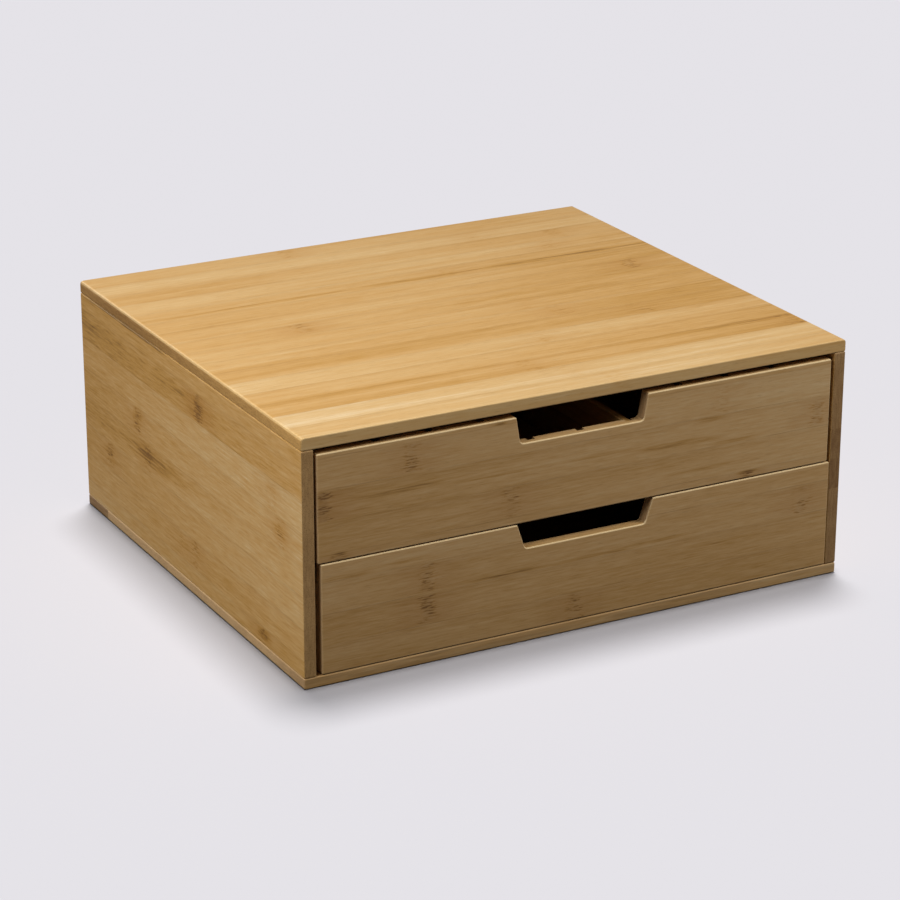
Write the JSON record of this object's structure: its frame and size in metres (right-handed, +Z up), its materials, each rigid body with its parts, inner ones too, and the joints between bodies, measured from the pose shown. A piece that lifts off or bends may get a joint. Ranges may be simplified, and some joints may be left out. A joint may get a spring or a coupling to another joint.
{
  "type": "desk organizer",
  "caption": "Low bamboo desk box with stacked full-width drawers that slide out at the front by trapezoid finger cut-outs; the upper drawer has upright dividers.",
  "frame": {"origin": "middle of the footprint, on the surface that the case stands on", "axes": "+X to the right of someone who faces the drawers, -Y out of the front in the direction the drawers open, +Z up"},
  "size_m": [0.33, 0.2936, 0.138],
  "materials": {
    "bamboo_panel": "satin",
    "bamboo_drawer_front": "satin",
    "bamboo_inner": "satin",
    "bamboo_back_board": "satin",
    "thin_floor": "matte",
    "dowel_wood": "matte",
    "brad_steel": "satin"
  },
  "bodies": {
    "case": {"top_panel": "bamboo_panel", "bottom_panel": "bamboo_panel", "left_side_panel": "bamboo_panel", "right_side_panel": "bamboo_panel", "back_panel": "bamboo_back_board", "left_runner": "bamboo_inner", "right_runner": "bamboo_inner", "dowel_top_left_1": "dowel_wood", "dowel_top_left_2": "dowel_wood", "dowel_top_left_3": "dowel_wood", "dowel_top_right_1": "dowel_wood", "dowel_top_right_2": "dowel_wood", "dowel_top_right_3": "dowel_wood", "dowel_bottom_left_1": "dowel_wood", "dowel_bottom_left_2": "dowel_wood", "dowel_bottom_left_3": "dowel_wood", "dowel_bottom_right_1": "dowel_wood", "dowel_bottom_right_2": "dowel_wood", "dowel_bottom_right_3": "dowel_wood"},
    "upper_drawer": {"upper_drawer_front": "bamboo_drawer_front", "upper_drawer_left_wall": "bamboo_inner", "upper_drawer_right_wall": "bamboo_inner", "upper_drawer_back_wall": "bamboo_inner", "upper_drawer_floor": "thin_floor", "upper_drawer_brad_left_1": "brad_steel", "upper_drawer_brad_left_2": "brad_steel", "upper_drawer_brad_right_1": "brad_steel", "upper_drawer_brad_right_2": "brad_steel", "upper_drawer_divider_1": "bamboo_inner", "upper_drawer_divider_2": "bamboo_inner", "upper_drawer_divider_3": "bamboo_inner"},
    "lower_drawer": {"lower_drawer_front": "bamboo_drawer_front", "lower_drawer_left_wall": "bamboo_inner", "lower_drawer_right_wall": "bamboo_inner", "lower_drawer_back_wall": "bamboo_inner", "lower_drawer_floor": "thin_floor", "lower_drawer_brad_left_1": "brad_steel", "lower_drawer_brad_left_2": "brad_steel", "lower_drawer_brad_right_1": "brad_steel", "lower_drawer_brad_right_2": "brad_steel"}
  },
  "joints": [
    {"name": "upper_drawer_slide", "type": "slide", "parent": "case", "child": "upper_drawer", "axis": [0, -1, 0], "range_m": [0, 0.21]},
    {"name": "lower_drawer_slide", "type": "slide", "parent": "case", "child": "lower_drawer", "axis": [0, -1, 0], "range_m": [0, 0.21]}
  ]
}
